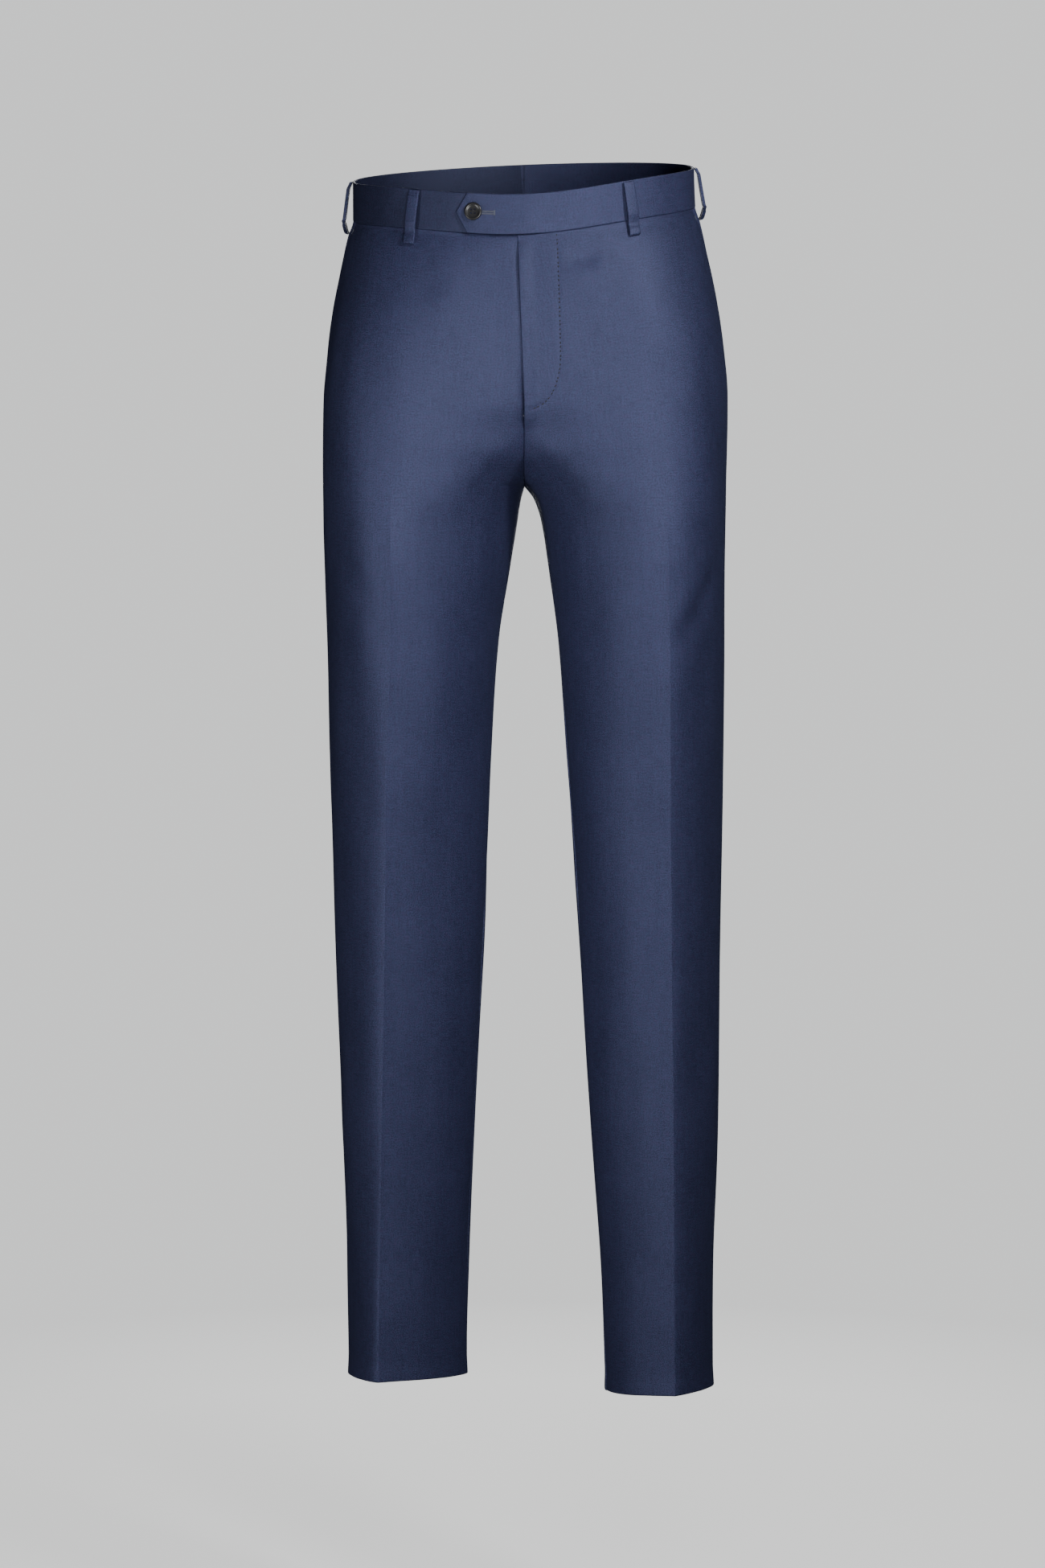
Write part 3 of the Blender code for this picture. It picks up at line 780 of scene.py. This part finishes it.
def panelShell(side, face):
    ends = frontEnds if face == "front" else backEnds
    heights = panelRows
    start, end = ofRows(ends, heights, side).T
    crease = ofRows(creaseRun, heights, side, face)
    near = np.array(cloth["edge"])
    counts = (28, 22)
    if (side, face) == ("left", "front"):
        # Close together as far as the row of stitches, down to the fly's foot.
        share = fly["fineFoot"] + (1 - fly["fineFoot"]) * smooth(*fly["fineFade"], heights)
        fine = near[-1] + steps(fly["fine"]) * share[:, None]
        near = np.hstack((np.broadcast_to(near, (len(heights), len(near))), fine))
        counts = (20, 22)
    runs = spread(start, crease, end, near, counts, ofRows(creaseWidth, heights, side, face))
    down = heights[:, None]
    out = reliefOf(side, face, runs, heights)
    fromStart, fromEnd = runs - start[:, None], end[:, None] - runs
    fromTop, fromHem = -form["band"] - down, down - form["hem"]
    underTab = 0
    if (side, face) == ("right", "front"):
        out = out - fly["sink"] * bell(runs - flyEdge(down), fly["sinkWidth"]) * besideFly(down)
        underTab = bell(fromTop, fly["sinkWidth"]) * smooth(*band["tabFade"], runs)
    if (side, face) == ("left", "front"):
        out = out + flyLift(fromStart, down) + stitchDimples(runs, down)
    if face == "front":
        gaping = np.sin(math.pi * (1 - belowBand(down, pocket["foot"])))
        out = out + pocket["gape"] * gaping * smooth(pocket["gapeWidth"], 0, fromEnd)
    else:
        out = out + dartRelief(runs - crease[:, None], down)
    out = out * heldAtBand(down) - fly["tabSink"] * underTab
    # It flares a little above the hem's fold.
    out = out + hem["flare"] * smooth(hem["flareHeight"], 0, fromHem)
    falls = roundedEdge(fromStart) + roundedEdge(fromEnd)
    falls = falls + roundedEdge(fromTop) + roundedEdge(fromHem, hem["fold"])
    turned = smooth(hem["turn"] + 1 * mm, hem["turn"], fromHem)
    thick = cloth["thick"] + (hem["thick"] - cloth["thick"]) * turned
    rise = roundedEdge(fromHem, hem["fold"])
    if face == "front":
        # The fly's and the pocket mouth's edges are folds, so the inner face rounds over as well.
        folded = roundedEdge(fromEnd) * (down > pocket["foot"])
        if side == "left":
            folded = folded + roundedEdge(fromStart) * (down > fly["foot"])
        rise = rise + folded * 0.8
    falls = np.minimum(falls, cloth["thick"] * 0.8)
    rise = np.minimum(rise, thick * 0.45)
    # The grain runs with the crease.
    weave = runs - crease[:, None], down
    return (side, face, runs, heights), out - falls, np.maximum(thick - rise - falls, 0.06 * mm), weave


# Stitches


def spotOn(side, run, height, out):
    # A point on the front as it lies, and the way it faces.
    relief = reliefOf(side, "front", np.array([[run]]), np.array([height]))[0, 0]
    return spotAt(side, run, height, out + relief * heldAtBand(height))


def addStitch(bm, start, end, normal, thick, segments=6):
    # A short run of thread, fattest in the middle and let into the cloth at its ends.
    ahead = end - start
    side = normal.cross(ahead).normalized()
    up = ahead.normalized().cross(side)
    turn = Matrix((ahead.normalized(), side, up)).transposed().to_4x4()
    size = Matrix.Diagonal((ahead.length / 2 + thick * 0.3, thick / 2, thick / 2, 1))
    place = Matrix.Translation((start + end) / 2)
    bmesh.ops.create_uvsphere(bm, u_segments=segments, v_segments=5, radius=1, matrix=place @ turn @ size)


jStitch = inMetres(
    fromCentre=32, lean=4, footRun=4, turnsAt=-148, foot=-197, pitch=4.1, length=1.5, unevenness=0.5,
    thread=1.25, dimple=0.35, dimpleWidth=1.6, dimpleFoot=-215,
)


@functools.cache
def jLine():
    # Down from the band, nearly straight, then round a quarter oval to the fly's foot.
    top, turnsAt, footRun = -form["band"], jStitch["turnsAt"], jStitch["footRun"]
    share = np.linspace(0, 1, 60)
    straight = (jStitch["fromCentre"] - jStitch["lean"] * (1 - share ** 0.6), top + (turnsAt - top) * share)
    turn = np.linspace(0, math.pi / 2, 40)[1:]
    reach = (jStitch["fromCentre"] - footRun) * np.cos(turn).clip(0) ** 0.85
    curve = (footRun + reach, turnsAt - (turnsAt - jStitch["foot"]) * np.sin(turn))
    return np.hstack((straight, curve)).T


def stitchDimples(runs, down):
    # The cloth is drawn in along the stitches.
    line = jLine()
    total = np.zeros(runs.shape)
    for i in np.nonzero(down[:, 0] > jStitch["dimpleFoot"])[0]:
        distance = np.hypot(line[:, :1] - runs[i], line[:, 1:] - down[i, 0]).min(axis=0)
        total[i] = -jStitch["dimple"] * bell(distance, jStitch["dimpleWidth"])
    return total


# The cloth stands out below a dart, by "swell".
dart = inMetres(
    foot=-112, fade=(-126, -102), groove=0.55, width=0.9, swell=0.65, swellWidth=9, swellHeight=20,
)


def dartRelief(across, down):
    # Each back has one dart from the band, over the line that its crease takes lower down.
    groove = dart["groove"] * bell(across, dart["width"]) * smooth(*dart["fade"], down)
    swell = dart["swell"] * bell(across, dart["swellWidth"]) * bell(down - dart["foot"], dart["swellHeight"])
    return swell - groove


def makePanels():
    for side in sides:
        for face in ("front", "back"):
            name = side + face.capitalize() + "Cloth"
            panel = clothShell(name, *panelShell(side, face), "cloth", [f"{face}_{side}"])


makePanels()
print("panels laid")


def makeFacings():
    # The strip behind each pocket mouth: under the front at the mouth, level with the cloth at the side seam.
    heights = steps((-35.05, -36, 0.4), (-36, -186, 4), (-186, -196, 1.5))
    for side in sides:
        mouth = ofRows(mouthRun, heights, side)[:, None]
        seam = ofRows(lengthOf, heights, side, "front")[:, None] + form["sideShift"] - cloth["gap"] / 2
        under = mouth - pocket["under"]
        share = np.linspace(0, 1, 12)[1:]
        beyond = seam - cloth["edge"][::-1]
        runs = np.hstack((
            under + (mouth - under) * np.linspace(0, 1, 8)[:-1],
            mouth + (beyond[:, :1] - mouth) * share[:-1],
            np.maximum(beyond, mouth + 0.2 * mm),
        ))
        runs = np.sort(runs, axis=1)
        depth = pocket["depth"] * np.clip((seam - runs) / (seam - mouth), 0, 1) ** 0.8
        down = heights[:, None]
        fall = roundedEdge(seam - runs) + roundedEdge(-form["band"] - down)
        fall = np.minimum(fall, cloth["thick"] * 0.8)
        out = reliefOf(side, "front", runs, heights) * heldAtBand(down) - depth
        # The facing's finish is the lighter copy of the cloth: painted light.
        piece = clothShell(
            side + "PocketFacing", (side, "front", runs, heights), out - fall, cloth["thick"] - fall,
            (runs, down), "facing", ["pocket_facing_" + side],
        )


makeFacings()
print("pocket facings laid")


def tabShift(runs, down):
    # The left band's end is cut to a blunt point halfway down.
    return band["point"] * np.abs(-2 * down / form["band"] - 1) * smooth(-band["tab"] / 2, -band["tab"], runs)


def makeWaistband():
    heights = -band["rows"]
    down = heights[:, None]
    for side in sides:
        start = -band["tab"] if side == "left" else fly["under"]
        end = sum(lengthOf(side, face, -form["band"]) for face in ("front", "back")) - cloth["gap"] / 2
        edge = np.array(cloth["edge"])
        even = np.linspace(start + edge[-1], end - edge[-1], 150)[1:-1]
        along = np.concatenate((start + edge, even, end - edge[::-1]))
        runs = np.tile(along, (len(heights), 1))
        out = band["sway"] * (np.sin(along / (23 * mm)) + 0.6 * np.sin(along / (9.5 * mm) + 1.3))
        out = out * np.sin(math.pi * np.linspace(0.12, 0.9, len(heights)))[:, None]
        if side == "left":
            out = out + band["lift"] * smooth(*band["ramp"], runs)
            runs = runs + tabShift(runs, down)
        fold = band["fold"]
        fall = roundedEdge(-down, fold) + roundedEdge(form["band"] + down)
        rise = roundedEdge(-down, fold)
        if side == "left":
            ends = roundedEdge(along - start)
            fall, rise = fall + ends, rise + ends
        fall = fall + roundedEdge(end - along)
        fall = np.minimum(fall, fold)
        thick = np.maximum(band["thick"] - fall - np.minimum(rise, fold), 0.1 * mm)
        # Each band takes its own copy of the cloth: painted shade on the right band, painted sheen on the
        # left.
        piece = clothShell(
            side + "Waistband", (side, "front", runs, heights), out - fall, thick, (down, runs),
            side + "Band", ["waistband_" + side],
        )
        cut = (0.035, round(end - start, 3))


makeWaistband()
print("waistband laid")

loops = {
    "start": 0.28,  # how much of its stand a loop has at the top
    "rise": (-0.02, 0.14),
    **inMetres(width=10, top=1.2, below=14, seat=0.5, turned=0.9, edge=0.75, crown=0.25),
    **inMetres(rim=(0, 0.1, 0.35, 0.8)),  # columns this far from its sides
}
# Each loop leans out from the band's top to its fullest place, and turns back to its foot.
loopColumns = ("name", "side", "face", "run", "stand", "fullest", "lean", "thick")
loopRows = (
    ("front_right", "right", "front", 101, 3.2, 0.6, 4.6, 2.0),
    ("front_left", "left", "front", 96, 3.2, 0.6, 5.5, 2.0),
    ("side_right", "right", "back", 209, 7.2, 0.8, 0, 2.8),
    ("side_left", "left", "back", 208, 7.2, 0.8, 0, 2.8),
    ("back_right", "right", "back", 86, 3.8, 0.66, 0, 2.0),
    ("back_left", "left", "back", 86, 4.2, 0.7, 0, 2.0),
    ("centre_back", "left", "back", 0, 4.4, 0.68, 0, 2.0),
)


def loopStand(loop, shares):
    # A quick rise at the top, a straight lean outwards and a tight bend back to the foot.
    lean = loops["start"] + (1 - loops["start"]) * shares / loop["fullest"]
    back = (1 - shares) / (1 - loop["fullest"])
    return loop["stand"] * mm * smooth(*loops["rise"], shares) * np.minimum(lean, back ** 0.8)


def makeBeltLoops():
    fall = form["band"] + loops["below"] - loops["top"]
    half = loops["width"] / 2
    rim = np.array(loops["rim"])
    across = np.concatenate((rim - half, np.linspace(-3.4, 3.4, 7) * mm, half - rim[::-1]))
    rows = np.linspace(0.06, 0.94, 40)
    shares = np.concatenate(([0, 0.004, 0.012, 0.025, 0.04], rows, [0.96, 0.978, 0.99, 0.997, 1]))
    heights = -loops["top"] - fall * shares
    for row in loopRows:
        loop = dict(zip(loopColumns, row))
        lean = loop["lean"] * mm * (shares - 0.5)[:, None]
        runs = loop["run"] * mm + lean + across
        # The foot is turned under, so it is thicker.
        thick = loop["thick"] * mm + loops["turned"] * smooth(0.84, 0.9, shares)[:, None]
        out = loops["seat"] + loopStand(loop, shares)[:, None] + thick - loops["crown"] * (across / half) ** 2
        topFall = roundedEdge(fall * shares, loops["edge"])
        footFall = roundedEdge(fall * (1 - shares), loops["edge"] * 1.5)
        falls = roundedEdge(half - np.abs(across), loops["edge"]) + (topFall + footFall)[:, None]
        falls = np.minimum(falls, thick * 0.8)
        words = loop["name"].split("_")
        piece = clothShell(
            words[0] + words[1].capitalize() + "Loop", (loop["side"], loop["face"], runs, heights),
            out - falls * 0.6, np.maximum(thick - falls, 0.08 * mm), (runs, heights[:, None]), "loop",
            ["belt_loop_" + loop["name"]],
        )


makeBeltLoops()
print("belt loops laid")

button = {
    **inMetres(run=-44.3, drop=16, radius=7.8, thick=2.8, seat=0.45, holePlace=2.25, holeRadius=0.95),
    **inMetres(strand=0.34, strandApart=0.44),
    "shank": inMetres(radius1=1.9, radius2=1.6, depth=1.1),
    # Shares of the radius and the thickness: back, rim, rolled edge, dished middle.
    "profile": (
        (0, 0), (0.70, 0), (0.86, 0.10), (0.97, 0.34), (1.0, 0.58), (0.985, 0.80), (0.93, 0.96), (0.86, 1.0),
        (0.78, 0.98), (0.71, 0.90), (0.66, 0.83), (0.58, 0.80), (0.30, 0.78), (0, 0.78),
    ),
}


def holeSpots():
    angles = [math.radians(45 + 90 * quarter) for quarter in range(4)]
    return [Vector((math.cos(angle), math.sin(angle), 0)) * button["holePlace"] for angle in angles]


def boredMesh(disc, drill):
    blank, bit = placed("blank", meshFrom(disc, "blank")), placed("drill", meshFrom(drill, "drill"))
    holes = blank.modifiers.new("holes", "BOOLEAN")
    holes.operation = "DIFFERENCE"
    holes.object = bit
    bpy.context.view_layer.update()
    bored = bpy.data.meshes.new_from_object(blank.evaluated_get(bpy.context.evaluated_depsgraph_get()))
    bpy.data.objects.remove(blank)
    bpy.data.objects.remove(bit)
    return bored


def makeButton():
    point, normal = spotAt("left", button["run"], -button["drop"], band["lift"] + button["seat"])
    place = standing(point, normal)
    disc = bmesh.new()
    rim = [disc.verts.new((r * button["radius"], 0, h * button["thick"])) for r, h in button["profile"]]
    edges = [disc.edges.new(pair) for pair in zip(rim, rim[1:])]
    bmesh.ops.spin(
        disc, geom=rim + edges, angle=2 * math.pi, steps=72, use_merge=True, axis=(0, 0, 1), cent=(0, 0, 0),
    )
    bmesh.ops.remove_doubles(disc, verts=disc.verts[:], dist=0.01 * mm)
    bmesh.ops.recalc_face_normals(disc, faces=disc.faces[:])
    drill = bmesh.new()
    for spot in holeSpots():
        bmesh.ops.create_cone(
            drill, cap_ends=True, segments=20, radius1=button["holeRadius"], radius2=button["holeRadius"],
            depth=4 * button["thick"], matrix=Matrix.Translation(spot),
        )
    bm = bmesh.new()
    bm.from_mesh(boredMesh(disc, drill))
    bmesh.ops.transform(bm, matrix=place, verts=bm.verts[:])
    finishPiece(bm, "hornButton", "horn", ["button"])
    # Two strands cross each way between the holes, and the shank goes down to the band.
    bm = bmesh.new()
    up = Vector((0, 0, 1))
    corners = [spot + up * (button["thick"] * 0.70 + 0.3 * mm) for spot in holeSpots()]
    for a, b in (corners[::2], corners[1::2]):
        aside = (b - a).normalized().cross(up) * button["strandApart"] / 2
        for lean in (-1, 1):
            start, end = place @ (a + aside * lean), place @ (b + aside * lean)
            addStitch(bm, start, end, normal, button["strand"], 8)
    foot = place @ Matrix.Translation((0, 0, 0.2 * mm))
    bmesh.ops.create_cone(bm, cap_ends=True, segments=16, matrix=foot, **button["shank"])
    finishPiece(bm, "buttonThread", "thread")


makeButton()
print("button made")

# "inside", "knot" and "outside" are from the middle of the cut to a stitch's ends and its knot.
hole = {
    **inMetres(start=-37.2, end=-26.6, drop=16.4, inside=0.25, knot=0.5, outside=1.8, pitch=0.74),
    **inMetres(thread=0.6, knotThread=0.55),
    "bar": {"strands": 9, **inMetres(apart=0.5, near=0.1, far=1.5, thread=0.5)},
}


def bandSpot(run, drop, out):
    return spotAt("left", run, -drop, band["lift"] + out)


def makeButtonhole():
    # Two rows of worked stitches along the cut, and a bar across its end.
    bm = bmesh.new()

    def sew(start, end, thread):
        addStitch(bm, start[0], end[0], end[1], thread)

    count = round((hole["end"] - hole["start"]) / hole["pitch"])
    for i in range(count + 1):
        run = hole["start"] + (hole["end"] - hole["start"]) * i / count
        for sign in (-1, 1):
            inside, knot, outside = (hole["drop"] + sign * hole[at] for at in ("inside", "knot", "outside"))
            sew(bandSpot(run, inside, 0.12 * mm), bandSpot(run + 0.15 * mm, outside, 0), hole["thread"])
            ahead = bandSpot(run + 0.3 * mm, knot, 0.16 * mm)
            sew(bandSpot(run, knot, 0.16 * mm), ahead, hole["knotThread"])
    bar = hole["bar"]
    for i in range(bar["strands"]):
        drop = hole["drop"] + (i - (bar["strands"] - 1) / 2) * bar["apart"]
        ends = [bandSpot(hole["end"] + bar[at], drop, 0.1 * mm) for at in ("near", "far")]
        sew(*ends, bar["thread"])
    finishPiece(bm, "buttonholeThread", "tack")


makeButtonhole()
print("buttonhole worked")


def makeFlyStitches():
    line = jLine()
    lengths = runsAlong(*line.T)
    bm = bmesh.new()
    for i, at in enumerate(np.arange(2 * mm, lengths[-1] - 2 * mm, jStitch["pitch"])):
        at = at + jStitch["unevenness"] * math.sin(i * 2.4)
        ends = []
        for distance in (at, at + jStitch["length"]):
            run, height = (float(np.interp(distance, lengths, places)) for places in line.T)
            lift = flyLift(run + flyEdge(height), height)
            ends.append(spotOn("left", run, height, lift - jStitch["dimple"] + 0.06 * mm))
        addStitch(bm, ends[0][0], ends[1][0], ends[0][1], jStitch["thread"])
    # The near-black thread carries painted shade for the dimples round the stitches as well.
    finishPiece(bm, "flyStitching", "thread")


makeFlyStitches()
print("fly stitched")

tacks = {"strands": 9, **inMetres(thread=0.45, width=1.3, fromMouth=1.6, out=0.12)}
# Millimetres, and degrees for how a bar tack's strands are turned.
tackColumns = ("side", "run", "height", "length", "turn", "lift")
tackRows = (
    ("left", 1.6, -203.5, 5.5, 8, 1.2),
    ("left", "mouth", -43, 4.5, 62, 0.2),
    ("right", "mouth", -43, 4.5, 62, 0.2),
    ("left", "mouth", -192, 4.5, 10, 0.4),
    ("right", "mouth", -192, 4.5, 10, 0.4),
)


def makeTacks():
    bm = bmesh.new()
    shift = (tacks["strands"] - 1) / 2 / tacks["strands"]
    for row in tackRows:
        tack = dict(zip(tackColumns, row))
        height = tack["height"] * mm
        if tack["run"] == "mouth":
            run = mouthRun(tack["side"], height) - tacks["fromMouth"]
        else:
            run = tack["run"] * mm
        out = tack["lift"] * mm + tacks["out"]
        turn = math.radians(tack["turn"])
        across = np.array((math.cos(turn), -math.sin(turn)))
        along = np.array((math.sin(turn), math.cos(turn)))
        for i in range(tacks["strands"]):
            middle = (run, height) + across * (i / tacks["strands"] - shift) * tack["length"] * mm
            reach = along * tacks["width"] / 2
            start, end = (spotOn(tack["side"], *spot, out) for spot in (middle - reach, middle + reach))
            addStitch(bm, start[0], end[0], start[1], tacks["thread"])
    finishPiece(bm, "barTacks", "tack")


makeTacks()
print("tacks sewn")

# "teeth" is where they start and end, and the step between them.
zipper = inMetres(
    middle=8, width=28, depth=4.6, thick=0.8, top=-39, foot=-192, teeth=(-53, -188, -1.2), aside=0.9,
    tooth=(2.6, 0.9, 0.9), toothDepth=5.6, bevel=0.15,
)


def makeZip():
    heights = np.linspace(zipper["top"], zipper["foot"], 60)
    runs = np.tile(zipper["middle"] + np.linspace(-0.5, 0.5, 22) * zipper["width"], (60, 1))
    tape = clothShell(
        "zipTapeCloth", ("left", "front", runs, heights), -zipper["depth"], zipper["thick"],
        (runs, heights[:, None]), "tape", ["zip"], slot="zip_tape",
    )
    bm = bmesh.new()
    for i, height in enumerate(np.arange(*zipper["teeth"])):
        run = zipper["middle"] + (zipper["aside"] if i % 2 else -zipper["aside"])
        place = standing(*spotAt("left", run, height, -zipper["toothDepth"]))
        tooth = bmesh.ops.create_cube(bm, size=1, matrix=place @ Matrix.Diagonal((*zipper["tooth"], 1)))
        edges = list({edge for vert in tooth["verts"] for edge in vert.link_edges})
        bmesh.ops.bevel(
            bm, geom=edges, offset=zipper["bevel"], affect="EDGES", segments=1, profile=0.5, material=-1,
        )
    teeth = finishPiece(bm, "zipTeeth", "metal")
    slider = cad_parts["zip_slider"]
    slider.data.materials.clear()
    slider.data.materials.append(finishes["metal"])


makeZip()
print("zip made")

studio = {
    "floor": -1360 * mm,
    "floorRadius": 1.5,
    "paper": (0.50, 0.505, 0.505, 1),
    "paperPale": (0.56, 0.565, 0.56, 1),
    "air": (0.93, 0.94, 0.94, 1),
    "glow": 0.006,  # how much of the air's brightness lights the cloth
    # Each light's place, what it is aimed at, its size and its power.
    "lights": {
        "key": ((0.95, -1.25, 0.75), (0, 0, -0.25), (0.25, 0.25), 16),
        "front": ((0.12, -1.35, -0.3), (0, 0, -0.4), (0.4, 0.4), 8.2),
        "low": ((-1.25, -1.3, -0.75), (0, 0, -0.5), (0.4, 0.9), 9.4),
        "side": ((1.35, -0.6, 0.7), (0.1, 0, 0.05), (0.3, 0.3), 1.0),
        "back": ((0, 2.8, 0.25), (0, 0, -0.45), (1.0, 1.6), 48),
    },
}


def makeStudio():
    bm = bmesh.new()
    bmesh.ops.create_circle(bm, cap_ends=True, segments=96, radius=studio["floorRadius"])
    bmesh.ops.translate(bm, vec=(0, 0, studio["floor"]), verts=bm.verts[:])
    mesh = meshFrom(bm, "floor")
    paper = Finish("paleFloor", Roughness=0.8, Emission_Color=(0.75, 0.755, 0.75, 1), Emission_Strength=1.0)
    place = paper.place()
    flat = paper.node("VectorMath", {"operation": "MULTIPLY"}, {0: place, 1: (1, 1, 0)})
    away = paper.node("VectorMath", {"operation": "LENGTH"}, {0: flat}, output=1)
    edge = studio["floorRadius"]
    shown = ((edge - away) / (edge * 0.3)).kept(0, 1)
    mottle = paper.noise(place, 3, 4)
    paper.feed(Base_Color=paper.blendOf(mottle, studio["paper"], studio["paperPale"]), Alpha=shown)
    mesh.materials.append(paper.material)
    floor = placed("floor", mesh)
    floor.visible_diffuse = floor.visible_glossy = False
    world = bpy.data.worlds.new("air")
    world.use_nodes = True
    # The air is pale to look at, and lights the cloth only a little, as in a studio with dark sides.
    tree = world.node_tree
    sky = tree.nodes["Background"]
    sky.inputs["Color"].default_value = studio["air"]
    seen = tree.nodes.new("ShaderNodeLightPath").outputs["Is Camera Ray"]
    strength = tree.nodes.new("ShaderNodeMapRange")
    strength.inputs["To Min"].default_value = studio["glow"]
    strength.inputs["To Max"].default_value = 1.0
    tree.links.new(seen, strength.inputs["Value"])
    tree.links.new(strength.outputs["Result"], sky.inputs["Strength"])
    bpy.context.scene.world = world
    for name, (place, aim, size, power) in studio["lights"].items():
        data = bpy.data.lights.new(name, "AREA")
        data.shape = "RECTANGLE"
        data.size, data.size_y = size
        data.energy = power
        lamp = placed(name, data)
        lamp.visible_camera = False
        lamp.location = place
        lamp.rotation_euler = (Vector(aim) - Vector(place)).to_track_quat("-Z", "Y").to_euler()


makeStudio()
print("studio lit")
